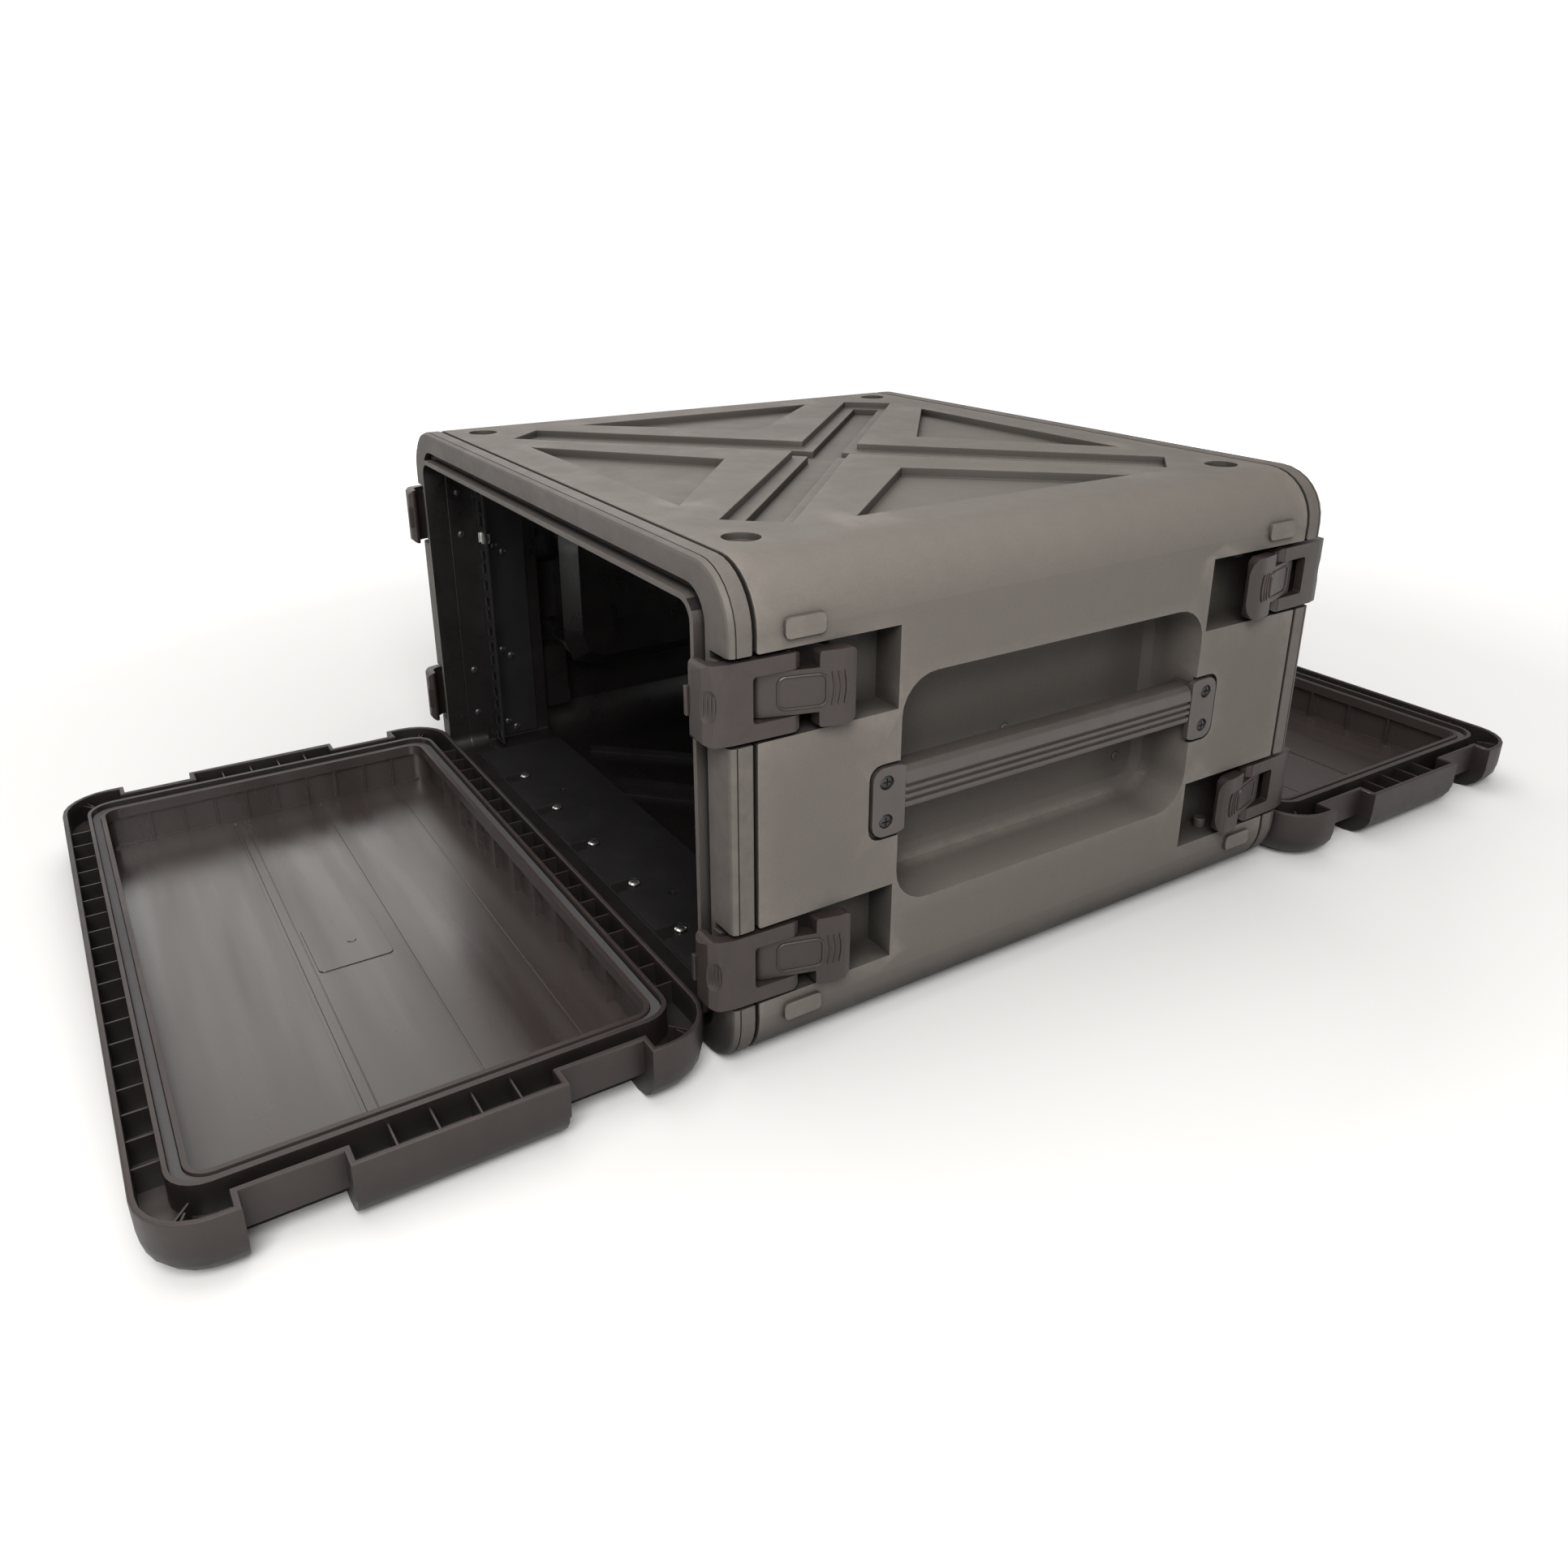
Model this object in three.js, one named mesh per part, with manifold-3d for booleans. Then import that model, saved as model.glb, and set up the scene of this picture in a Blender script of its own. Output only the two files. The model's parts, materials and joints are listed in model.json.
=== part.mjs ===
// Moulded six-unit rack case with two removable lids, in millimetres.
// X runs across the case, Y from the front opening (-Y) to the rear one, and Z up from the floor.
import * as THREE from 'three';
import { mergeVertices } from 'three/addons/utils/BufferGeometryUtils.js';
import Module from 'manifold-3d';

const wasm = await Module();
wasm.setup();

// ---- Driving dimensions ----
const WIDTH = 564;
const HEIGHT = 325;
const EDGE_RADIUS = 38;
const MID_Z = HEIGHT / 2;
const SIDE_X = WIDTH / 2;
const SHELL_END = 236; // |y| where the body shell stops
const WALL = 4.5;
const SEAM = 2.5; // visible gap between the shell and each end frame
const GAP = 0.3; // clearance between pieces that seat on each other

const FRAME_FACE = 254; // |y| of the end frame's broad front face
const RIM_FACE = 258; // |y| of the sealing rim round the opening
const BAY_X = 246; // half width of the opening
const BAY_Z = 136.5; // half height of the opening
const BAY_RADIUS = 12;
const SLEEVE_STEP = 222; // |y| where the sleeve's corners tighten to clear the rails
const RIM = 4;
const FRAME_GROOVE = 6;
const SKIRT = 3.5; // wall of the sleeve that runs back into the case
const SKIRT_END = 160; // |y| where that sleeve stops

const RACK_UNIT = 44.45;
const UNITS = 6;
const RACK_HOLE_X = 232.5;
const RACK_HOLE = 9.5;
const RACK_HOLE_STEPS = [6.35, 22.225, 38.1];
const RAIL_FACE = 215; // |y| of the rail's front flange
const RAIL_DEPTH = 43;
const RAIL_INNER_X = 222;
const RAIL_SHEET = 2;
const NUT_HOLE_Z = MID_Z + 1.5 * RACK_UNIT; // rail hole that holds the spare cage nut

const LATCH_OFFSET = 86.5; // latch centres above and below the middle of the case
const POCKET_HALF = 26.5;
const POCKET_END = 137; // |y| of the inner end of a latch pocket
const POCKET_FLOOR = 258; // |x| of the pocket floor

const RECESS_Y = 134;
const RECESS_Z = [85, 242];
const RECESS_RADIUS = 26;
const RECESS_STEPS = [[0, 0], [30, 1.5], [38, 5], [43, 12], [45, 23]]; // [depth, inset]

const GRIP_Z = 168;
const PLATE_Z = 162.5;
const PLATE_HALF = 24.5;
const PLATE_END = 156;
const PLATE_SEAT = 3.5;
const PLATE_SCREW_Y = 144.5;
const PLATE_SCREW_OFFSET = 13.6;

const LID_NEAR = 260.5; // |y| of the lid edge beside the case, as the lid lies on the floor
const LID_LENGTH = 321;
const LID_MID = LID_NEAR + LID_LENGTH / 2;
const LID_X = 281.5;
const REAR_LID_SHIFT = 20; // the loose rear lid lies this far to the right of the case's middle
const LID_RADIUS = 36;
const LID_TOP = 43.5;
const LID_FLOOR = 4.5;
const LID_RIM_WALL = 3.8;
const LID_STEPS = [[LID_TOP, 0], [23, 0.4], [15, 2], [8, 6.5], [3, 13.5], [0, 24]]; // [height, inset]
const LID_FLANGE = 19; // underside of the flange between the blocks
const LID_BLOCK_BASE = 8; // underside of the middle block between its feet
const NOTCH_X = 268;
const NOTCH = [LATCH_OFFSET - 26, LATCH_OFFSET + 26];
const CHANNEL_FLOOR = 24;

// ---- Solids ----
function solid(geometry) {
  const bare = geometry.clone();
  bare.deleteAttribute('normal');
  bare.deleteAttribute('uv');
  const merged = mergeVertices(bare, 1e-4);
  return new wasm.Manifold(new wasm.Mesh({
    numProp: 3,
    vertProperties: new Float32Array(merged.attributes.position.array),
    triVerts: new Uint32Array(merged.index.array),
  }));
}

function toGeometry(body) {
  const mesh = body.getMesh();
  const geometry = new THREE.BufferGeometry();
  geometry.setAttribute('position', new THREE.BufferAttribute(new Float32Array(mesh.vertProperties), 3));
  geometry.setIndex(new THREE.BufferAttribute(new Uint32Array(mesh.triVerts), 1));
  return geometry;
}

function join(...bodies) {
  return bodies.reduce((whole, body) => whole.add(body));
}

function cut(body, ...tools) {
  return tools.reduce((rest, tool) => rest.subtract(tool), body);
}

function box([x0, x1], [y0, y1], [z0, z1]) {
  const geometry = new THREE.BoxGeometry(x1 - x0, y1 - y0, z1 - z0);
  return solid(geometry.translate((x0 + x1) / 2, (y0 + y1) / 2, (z0 + z1) / 2));
}

// A rectangle centred on (cx, cy) with half sizes a and b and rounded corners.
function roundedRect(cx, cy, a, b, radius) {
  const shape = new THREE.Shape();
  shape.absarc(cx + a - radius, cy - b + radius, radius, -Math.PI / 2, 0);
  shape.absarc(cx + a - radius, cy + b - radius, radius, 0, Math.PI / 2);
  shape.absarc(cx - a + radius, cy + b - radius, radius, Math.PI / 2, Math.PI);
  shape.absarc(cx - a + radius, cy - b + radius, radius, Math.PI, Math.PI * 1.5);
  shape.closePath();
  return shape;
}

function polygon(points) {
  return new THREE.Shape(points.map(([u, v]) => new THREE.Vector2(u, v)));
}

function extrude(shape, depth, curveSegments) {
  return new THREE.ExtrudeGeometry(shape, { depth, bevelEnabled: false, curveSegments });
}

// Prisms whose outline is drawn in (x, y), (x, z) or (y, z).
function alongZ(shape, z0, z1, segments = 3) {
  return solid(extrude(shape, z1 - z0, segments).translate(0, 0, z0));
}

function alongY(shape, y0, y1, segments = 3) {
  return solid(extrude(shape, y1 - y0, segments).rotateX(Math.PI / 2).translate(0, y1, 0));
}

function alongX(shape, x0, x1, segments = 3) {
  const axes = new THREE.Matrix4().makeBasis(
    new THREE.Vector3(0, 1, 0),
    new THREE.Vector3(0, 0, 1),
    new THREE.Vector3(1, 0, 0),
  );
  return solid(extrude(shape, x1 - x0, segments).applyMatrix4(axes).translate(x0, 0, 0));
}

// A solid through matching convex outlines, each a list of Vector3.
function loft(outlines) {
  const count = outlines[0].length;
  const triangles = [];
  for (let ring = 0; ring < outlines.length - 1; ring += 1) {
    for (let i = 0; i < count; i += 1) {
      const a = ring * count + i;
      const b = ring * count + (i + 1) % count;
      triangles.push(a, b, b + count, a, b + count, a + count);
    }
  }
  const last = (outlines.length - 1) * count;
  for (let i = 1; i < count - 1; i += 1) {
    triangles.push(0, i + 1, i, last, last + i, last + i + 1);
  }
  const geometry = new THREE.BufferGeometry().setFromPoints(outlines.flat());
  geometry.setIndex(triangles);
  const body = solid(geometry);
  return body.volume() > 0 ? body : solid(geometry.setIndex(triangles.reverse()));
}

// Outline points of a rounded rectangle, placed in space by a function of (u, v).
function outline(cx, cy, a, b, radius, place, segments = 3) {
  const points = roundedRect(cx, cy, a, b, radius).extractPoints(segments).shape;
  const closed = points[0].distanceTo(points[points.length - 1]) < 1e-6;
  return (closed ? points.slice(0, -1) : points).map(({ x, y }) => place(x, y));
}

function mirrored(geometry, sx, sy) {
  const copy = geometry.clone().scale(sx, sy, 1);
  if (sx * sy < 0) {
    const index = copy.index.array;
    for (let i = 0; i < index.length; i += 3) {
      [index[i], index[i + 1]] = [index[i + 1], index[i]];
    }
  }
  return copy;
}

// ---- Materials ----
function finish(color, roughness, metalness = 0) {
  return new THREE.MeshStandardMaterial({ color, roughness, metalness });
}

const finishes = {
  shell: finish(0x3a3733, 0.62),
  frame: finish(0x38352f, 0.6),
  latch: finish(0x322f2c, 0.5),
  lid: finish(0x2f2a28, 0.45),
  grip: finish(0x2c2927, 0.5),
  rail: finish(0x151415, 0.45, 0.4),
  gasket: finish(0x4a4648, 0.8),
  steel: finish(0xb8b8b6, 0.3, 1),
  screw: finish(0x1b1b1d, 0.35, 0.8),
};

// ---- Assembly ----
const rackCase = new THREE.Group();

function place(name, geometry, material, parent = rackCase) {
  const mesh = new THREE.Mesh(geometry, material);
  mesh.name = name;
  parent.add(mesh);
  return mesh;
}

const SIDES = [['right', 1], ['left', -1]];
const ENDS = [['front', 1], ['rear', -1]];
const LEVELS = [['upper', LATCH_OFFSET], ['lower', -LATCH_OFFSET]];

// A range on the positive side of an axis, mirrored when sign is negative.
function span(sign, low, high) {
  return sign > 0 ? [low, high] : [-high, -low];
}

// ---- Body shell ----
const CHANNEL_ANGLE = THREE.MathUtils.degToRad(43.5);
const CHANNEL_REACH = 264;
const CHANNEL_DEPTHS = [6, 12];
const CHANNEL_HALF = [23, 12];
const PANEL_DEPTH = 7;
const DIMPLE = { x: 220.5, y: 209.3, radius: 12, depth: 5 };

function diagonalBar(sign, half, reach) {
  const angle = sign * CHANNEL_ANGLE;
  const corners = [[-reach, -half], [reach, -half], [reach, half], [-reach, half]];
  return polygon(corners.map(([u, v]) => [
    u * Math.cos(angle) - v * Math.sin(angle),
    u * Math.sin(angle) + v * Math.cos(angle),
  ]));
}

// The four triangular panels between the arms of the cross, grown outwards by margin.
function panelOutlines(margin) {
  const endBase = 128 + 2 * margin;
  const sideBase = 121 + 2 * margin;
  return [1, -1].flatMap((s) => [
    polygon([[-endBase, -s * (201 + margin)], [endBase, -s * (201 + margin)], [0, -s * (94 - 1.4 * margin)]]),
    polygon([[s * (213 + margin), -sideBase], [s * (213 + margin), sideBase], [s * (101 - 1.4 * margin), 0]]),
  ]);
}

// Everything pressed into the top (sign 1) or the underside (sign -1), grown by the wall thickness
// when it is the inner face of the pressing.
function pressings(sign, grow) {
  const face = sign > 0 ? HEIGHT : 0;
  const start = grow ? -1 : 1;
  const layer = (shape, depth) => {
    const ends = [face + sign * start, face - sign * (depth + grow)];
    return alongZ(shape, Math.min(...ends), Math.max(...ends));
  };
  const bodies = [];
  for (const arm of [1, -1]) {
    CHANNEL_DEPTHS.forEach((depth, i) => {
      const reach = CHANNEL_REACH - 7 * i + grow;
      bodies.push(layer(diagonalBar(arm, CHANNEL_HALF[i] + grow, reach), depth));
    });
    for (const end of [1, -1]) {
      const dimple = new THREE.Shape().absarc(arm * DIMPLE.x, end * DIMPLE.y, DIMPLE.radius + grow, 0, 2 * Math.PI);
      bodies.push(alongZ(
        dimple,
        Math.min(face + sign * start, face - sign * (DIMPLE.depth + grow)),
        Math.max(face + sign * start, face - sign * (DIMPLE.depth + grow)),
        grow ? 4 : 8,
      ));
    }
  }
  panelOutlines(grow).forEach((shape) => bodies.push(layer(shape, PANEL_DEPTH)));
  return join(...bodies);
}

function handRecess(sign, grow) {
  const middle = (RECESS_Z[0] + RECESS_Z[1]) / 2;
  const half = (RECESS_Z[1] - RECESS_Z[0]) / 2;
  const steps = grow ? [[-grow, 0], [30, 1.5], [45, 15]] : [[-3, 0], ...RECESS_STEPS];
  const rings = steps.map(([depth, inset]) => {
    const x = sign * (SIDE_X - 1 - depth - grow + (grow ? 0 : 1));
    return outline(
      0,
      middle,
      RECESS_Y + grow - inset,
      half + grow - inset,
      Math.max(RECESS_RADIUS + grow - inset / 2, 6),
      (y, z) => new THREE.Vector3(x, y, z),
      grow ? 1 : 3,
    );
  });
  return loft(rings);
}

function plateOutline(end, margin) {
  const middle = (PLATE_END + RECESS_Y - 6) / 2;
  const half = (PLATE_END - RECESS_Y + 6) / 2;
  return roundedRect(end * middle, PLATE_Z, half + margin, PLATE_HALF + margin, 9);
}

const LEVER_PIVOT = [270, -229.5];
const HOOK_PIVOT = [276.5, -213];
const PIN_RADIUS = 2.4;
const BORE_RADIUS = 2.7;
const NECK_HALF = 13.4;
const LUG = [NECK_HALF + GAP, 18.4];

function disc([x, y], radius) {
  return new THREE.Shape().absarc(x, y, radius, 0, 2 * Math.PI);
}

// Ears on a latch pocket's floor that carry the lever's pivot pin.
function latchLugs(side, end, z) {
  const [px, py] = LEVER_PIVOT;
  const ear = join(
    alongZ(disc([side * px, end * py], 5.2), z - LUG[1], z + LUG[1], 4),
    box(span(side, POCKET_FLOOR - 1, px), span(-end, -py - 5.2, -py + 5.2), [z - LUG[1], z + LUG[1]]),
  );
  return cut(
    ear,
    box(span(side, POCKET_FLOOR, 290), span(-end, 220, 240), [z - LUG[0], z + LUG[0]]),
    alongZ(disc([side * px, end * py], BORE_RADIUS), z - 30, z + 30, 4),
  );
}

function bodyShell() {
  const section = (inset) => roundedRect(0, MID_Z, SIDE_X - inset, MID_Z - inset, EDGE_RADIUS - inset);
  const sleeve = roundedRect(0, MID_Z, BAY_X + SKIRT + GAP, BAY_Z + SKIRT + GAP, BAY_RADIUS + SKIRT);
  let shell = cut(
    alongY(section(0), -SHELL_END, SHELL_END, 4),
    alongY(section(WALL), -SHELL_END + WALL, SHELL_END - WALL, 2),
    alongY(sleeve, -SHELL_END - 1, SHELL_END + 1),
  );
  const inside = alongY(section(1), -SHELL_END, SHELL_END, 4);
  const backing = [pressings(1, 4), pressings(-1, 4)];
  const cuts = [pressings(1, 0), pressings(-1, 0)];
  for (const [, side] of SIDES) {
    backing.push(handRecess(side, 4));
    cuts.push(handRecess(side, 0));
    for (const [, end] of ENDS) {
      backing.push(box(span(side, 264, 281), span(end, RECESS_Y - 1, 160), [PLATE_Z - 28, PLATE_Z + 28]));
      cuts.push(alongX(plateOutline(end, 1.2), ...span(side, SIDE_X - PLATE_SEAT, SIDE_X + 3), 2));
      for (const row of [1, -1]) {
        const hole = disc([end * PLATE_SCREW_Y, PLATE_Z + row * PLATE_SCREW_OFFSET], 2.3);
        cuts.push(alongX(hole, ...span(side, 268, 284), 3));
      }
      for (const [, level] of LEVELS) {
        const z = MID_Z + level;
        const walls = [z - POCKET_HALF - 4, z + POCKET_HALF + 4];
        backing.push(box(span(side, POCKET_FLOOR - 4, 280), span(end, POCKET_END - 4, SHELL_END - 1), walls));
        cuts.push(box(
          span(side, POCKET_FLOOR, 290),
          span(end, POCKET_END, SHELL_END + 1),
          [z - POCKET_HALF, z + POCKET_HALF],
        ));
      }
    }
  }
  shell = cut(shell.add(join(...backing).intersect(inside)), ...cuts);
  const trim = [];
  for (const [, side] of SIDES) {
    for (const [, end] of ENDS) {
      for (const [, level] of LEVELS) {
        trim.push(latchLugs(side, end, MID_Z + level));
        const padZ = MID_Z + Math.sign(level) * 125;
        const pad = roundedRect(-end * 205.5, padZ, 13.5, 6, 3);
        trim.push(alongX(pad, ...span(side, SIDE_X - 2, SIDE_X + 2.5), 1));
      }
    }
  }
  return join(shell, ...trim);
}

place('body_shell', toGeometry(bodyShell()), finishes.shell);

// ---- End frames: broad flange, sealing rim and the sleeve that lines the opening ----
function endFrame() {
  const ring = (y, inset) => outline(
    0,
    MID_Z,
    SIDE_X - inset,
    MID_Z - inset,
    EDGE_RADIUS - inset,
    (x, z) => new THREE.Vector3(x, y, z),
    4,
  );
  const back = -SHELL_END - SEAM;
  const flange = loft([
    ring(-FRAME_FACE, 4),
    ring(-FRAME_FACE + 1.2, 1.2),
    ring(-FRAME_FACE + 4, 0),
    ring(back, 0),
  ]);
  const around = (margin, extra) => roundedRect(0, MID_Z, BAY_X + margin, BAY_Z + margin, BAY_RADIUS + extra);
  const groove = cut(
    alongY(around(RIM + FRAME_GROOVE, 9), -FRAME_FACE - 1, -FRAME_FACE + 6),
    alongY(around(RIM, 4), -FRAME_FACE - 2, -FRAME_FACE + 7),
  );
  const rim = alongY(around(RIM, 4), -RIM_FACE, back);
  const sleeve = join(
    alongY(around(SKIRT, 3), back - 1, -SLEEVE_STEP),
    alongY(around(SKIRT, -6), -SLEEVE_STEP - 2, -SKIRT_END, 1),
  );
  const bay = join(
    alongY(around(0, 0), -RIM_FACE - 1, -SLEEVE_STEP + 1),
    alongY(around(0, -9), -SLEEVE_STEP, -SKIRT_END + 1, 1),
  );
  const notches = SIDES.flatMap(([, side]) => LEVELS.map(([, level]) => box(
    span(side, POCKET_FLOOR + 3, SIDE_X + 5),
    [-RIM_FACE - 1, back + 1],
    [MID_Z + level - POCKET_HALF, MID_Z + level + POCKET_HALF],
  )));
  return toGeometry(cut(join(cut(flange, groove), rim, sleeve), bay, ...notches));
}

const frameGeometry = endFrame();

// ---- Rack rails: angle strips with square holes on the rack pitch ----
function rackHoleHeights() {
  const bottom = MID_Z - UNITS * RACK_UNIT / 2;
  return [...Array(UNITS).keys()].flatMap((unit) => RACK_HOLE_STEPS.map((step) => bottom + unit * RACK_UNIT + step));
}

function rackRail() {
  const outer = BAY_X - GAP;
  const half = UNITS * RACK_UNIT / 2 - 0.5;
  const heights = [MID_Z - half, MID_Z + half];
  const angle = join(
    box([RAIL_INNER_X, outer], [-RAIL_FACE, -RAIL_FACE + RAIL_SHEET], heights),
    box([outer - RAIL_SHEET, outer], [-RAIL_FACE, -RAIL_FACE + RAIL_DEPTH], heights),
  );
  const holes = rackHoleHeights().map((z) => box(
    [RACK_HOLE_X - RACK_HOLE / 2, RACK_HOLE_X + RACK_HOLE / 2],
    [-RAIL_FACE - 1, -RAIL_FACE + RAIL_SHEET + 1],
    [z - RACK_HOLE / 2, z + RACK_HOLE / 2],
  ));
  return toGeometry(cut(angle, ...holes));
}

const railGeometry = rackRail();

for (const [endName, end] of ENDS) {
  place(`${endName}_frame`, mirrored(frameGeometry, 1, end), finishes.frame);
  for (const [sideName, side] of SIDES) {
    place(`rack_rail_${endName}_${sideName}`, mirrored(railGeometry, side, end), finishes.rail);
  }
}

// A spare cage nut waiting in the front left rail.
function cageNut() {
  const half = RACK_HOLE / 2 - GAP;
  const y = -RAIL_FACE;
  const body = join(
    box([-half, half], [y + GAP, y + 5.5], [-half, half]),
    box([-half - 1.6, half + 1.6], [y + RAIL_SHEET + GAP, y + 5.5], [-half, half]),
    box([-half, -half + 1.2], [y - 1.6, y + 1], [-half, half]),
    box([half - 1.2, half], [y - 1.6, y + 1], [-half, half]),
  );
  const shape = new THREE.Shape().absarc(0, 0, 2.6, 0, 2 * Math.PI);
  return toGeometry(cut(body, alongY(shape, y - 3, y + 8, 4)));
}

place('cage_nut', cageNut(), finishes.steel).position.set(-RACK_HOLE_X, 0, NUT_HOLE_Z);

// ---- Carrying handles ----
const GRIP_HALF_Z = 15;
const GRIP_BACK = 261;
const GRIP_FRONT = 283;
const GRIP_END = 129.7;

// Section of the grip in (x, z), with three lengthwise grooves in its outer face.
function gripSection() {
  const top = GRIP_Z + GRIP_HALF_Z;
  const bottom = GRIP_Z - GRIP_HALF_Z;
  const shape = new THREE.Shape();
  shape.moveTo(GRIP_BACK + 6, bottom);
  shape.lineTo(GRIP_FRONT - 5, bottom);
  shape.quadraticCurveTo(GRIP_FRONT, bottom, GRIP_FRONT, bottom + 4);
  for (const offset of [5.4, 10.4, 15.4]) {
    shape.lineTo(GRIP_FRONT, bottom + offset);
    shape.lineTo(GRIP_FRONT - 2, bottom + offset + 0.5);
    shape.lineTo(GRIP_FRONT - 2, bottom + offset + 1.9);
    shape.lineTo(GRIP_FRONT, bottom + offset + 2.4);
  }
  shape.lineTo(GRIP_FRONT, top - 9);
  shape.quadraticCurveTo(GRIP_FRONT, top, GRIP_FRONT - 10, top);
  shape.quadraticCurveTo(GRIP_BACK, top, GRIP_BACK, top - 10);
  shape.lineTo(GRIP_BACK, bottom + 6);
  shape.quadraticCurveTo(GRIP_BACK, bottom, GRIP_BACK + 6, bottom);
  return shape;
}

function gripPlate() {
  const head = alongX(plateOutline(1, 0), SIDE_X - PLATE_SEAT + GAP, SIDE_X + 1.2, 2);
  const cheek = alongY(
    roundedRect((GRIP_BACK + GRIP_FRONT) / 2, GRIP_Z, 11, GRIP_HALF_Z, 6),
    GRIP_END + GAP,
    RECESS_Y - 1.6,
    2,
  );
  const trimmed = head.subtract(box([270, 290], [RECESS_Y - 20, GRIP_END + GAP], [100, 220]));
  const holes = [1, -1].flatMap((row) => {
    const centre = [PLATE_SCREW_Y, PLATE_Z + row * PLATE_SCREW_OFFSET];
    return [
      alongX(disc(centre, 5.4), SIDE_X - 1.4, SIDE_X + 3, 5),
      alongX(disc(centre, 2.3), SIDE_X - 10, SIDE_X + 3, 3),
    ];
  });
  return toGeometry(cut(join(trimmed, cheek), ...holes));
}

// Domed screw on the X axis, its head's underside at x = 0.
function plateScrew() {
  const profile = [[0, -12], [1.9, -12], [1.9, 0], [4.8, 0], [4.8, 1], [3.4, 2.2], [0, 2.2]];
  return toGeometry(solid(new THREE.LatheGeometry(
    profile.map(([radius, height]) => new THREE.Vector2(radius, height)),
    8,
  ).rotateZ(-Math.PI / 2)));
}

const gripGeometry = toGeometry(alongY(gripSection(), -GRIP_END, GRIP_END, 3));
const plateGeometry = gripPlate();
const screwGeometry = plateScrew();

for (const [sideName, side] of SIDES) {
  place(`handle_grip_${sideName}`, mirrored(gripGeometry, side, 1), finishes.grip);
  for (const [endName, end] of ENDS) {
    place(`handle_bracket_${sideName}_${endName}`, mirrored(plateGeometry, side, -end), finishes.grip);
    for (const [row, sign] of [['top', 1], ['bottom', -1]]) {
      const screw = place(
        `handle_screw_${sideName}_${endName}_${row}`,
        mirrored(screwGeometry, side, 1),
        finishes.screw,
      );
      const x = side * (SIDE_X - 1.4 + GAP);
      screw.position.set(x, -end * PLATE_SCREW_Y, PLATE_Z + sign * PLATE_SCREW_OFFSET);
    }
  }
}

// ---- Draw latches ----
const HOOK_HALF = 24;
const WINDOW_HALF = 14;
const HEAD_HALF = 23;

// Plan of the lever: round nose about its pivot, slim neck and thicker thumb end.
function leverPlan() {
  const [px, py] = LEVER_PIVOT;
  const shape = new THREE.Shape();
  shape.moveTo(px + 2, py - 6);
  shape.quadraticCurveTo(278, py - 6, 280, -224);
  shape.lineTo(287, -199);
  shape.lineTo(290.5, -184);
  shape.quadraticCurveTo(292, -174, 286, -172);
  shape.quadraticCurveTo(281.5, -171.5, 282, -176);
  shape.lineTo(280, -196);
  shape.lineTo(273, -207);
  shape.lineTo(px - 4, -224);
  shape.absarc(px, py, 6.4, Math.PI * 0.7, Math.PI * 1.6);
  return shape;
}

function latchLever() {
  const plan = leverPlan();
  const neck = alongZ(plan, -NECK_HALF, NECK_HALF);
  const head = alongZ(plan, -HEAD_HALF, HEAD_HALF).intersect(box([260, 300], [-198, -150], [-30, 30]));
  const bores = [LEVER_PIVOT, HOOK_PIVOT].map((pivot) => alongZ(disc(pivot, BORE_RADIUS), -30, 30, 4));
  return toGeometry(cut(join(neck, head), ...bores));
}

// Plan of the hook: barrel on the lever, flat arm along the side and a claw round the front.
function hookPlan() {
  const [px, py] = HOOK_PIVOT;
  const shape = new THREE.Shape();
  shape.absarc(px, py, 7, -Math.PI * 0.5, Math.PI * 0.62, false);
  shape.lineTo(px - 6, py + 2);
  shape.lineTo(px - 4, py - 7);
  shape.closePath();
  const arm = new THREE.Shape();
  arm.moveTo(px, py);
  arm.lineTo(275.5, -250);
  arm.quadraticCurveTo(275, -260, 268, -261.5);
  arm.lineTo(263.5, -261.5);
  arm.quadraticCurveTo(259.5, -261.5, 259.5, -265);
  arm.quadraticCurveTo(260, -269, 266, -269);
  arm.quadraticCurveTo(281, -269, 282, -253);
  arm.lineTo(283.5, py);
  return [shape, arm];
}

function latchHook() {
  const [barrel, arm] = hookPlan().map((shape) => alongZ(shape, -HOOK_HALF, HOOK_HALF));
  const [, py] = HOOK_PIVOT;
  return toGeometry(cut(
    join(barrel, arm),
    box([260, 300], [-239, py + 12], [-WINDOW_HALF, WINDOW_HALF]),
    alongZ(disc(HOOK_PIVOT, BORE_RADIUS), -30, 30, 4),
  ));
}

function latchPin([x, y], half) {
  return toGeometry(alongZ(disc([x, y], PIN_RADIUS), -half, half, 4));
}

const latchPieces = [
  ['lever', latchLever(), finishes.latch],
  ['hook', latchHook(), finishes.latch],
  ['lever_pin', latchPin(LEVER_PIVOT, LUG[1]), finishes.steel],
  ['hook_pin', latchPin(HOOK_PIVOT, HOOK_HALF), finishes.steel],
];

for (const [endName, end] of ENDS) {
  for (const [sideName, side] of SIDES) {
    for (const [levelName, level] of LEVELS) {
      const latch = new THREE.Group();
      latch.position.z = MID_Z + level;
      rackCase.add(latch);
      for (const [piece, geometry, material] of latchPieces) {
        place(`${piece}_${endName}_${sideName}_${levelName}`, mirrored(geometry, side, end), material, latch);
      }
    }
  }
}

// ---- Lids, lying rim up beside the openings they close ----
const SEAL_X = [241, 244.5, 250.8, 254.5]; // cavity, groove inner, groove outer, channel inner
const SEAL_Y = [130.7, 134, 140.4, 143];
const GROOVE_FLOOR = 36.5;
const INNER_WALL_TOP = 41;
const GASKET_TOP = 39.4;
const SET_BACK = [4, 6, 32]; // the cavity widens by this much in x and y below this height

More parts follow.
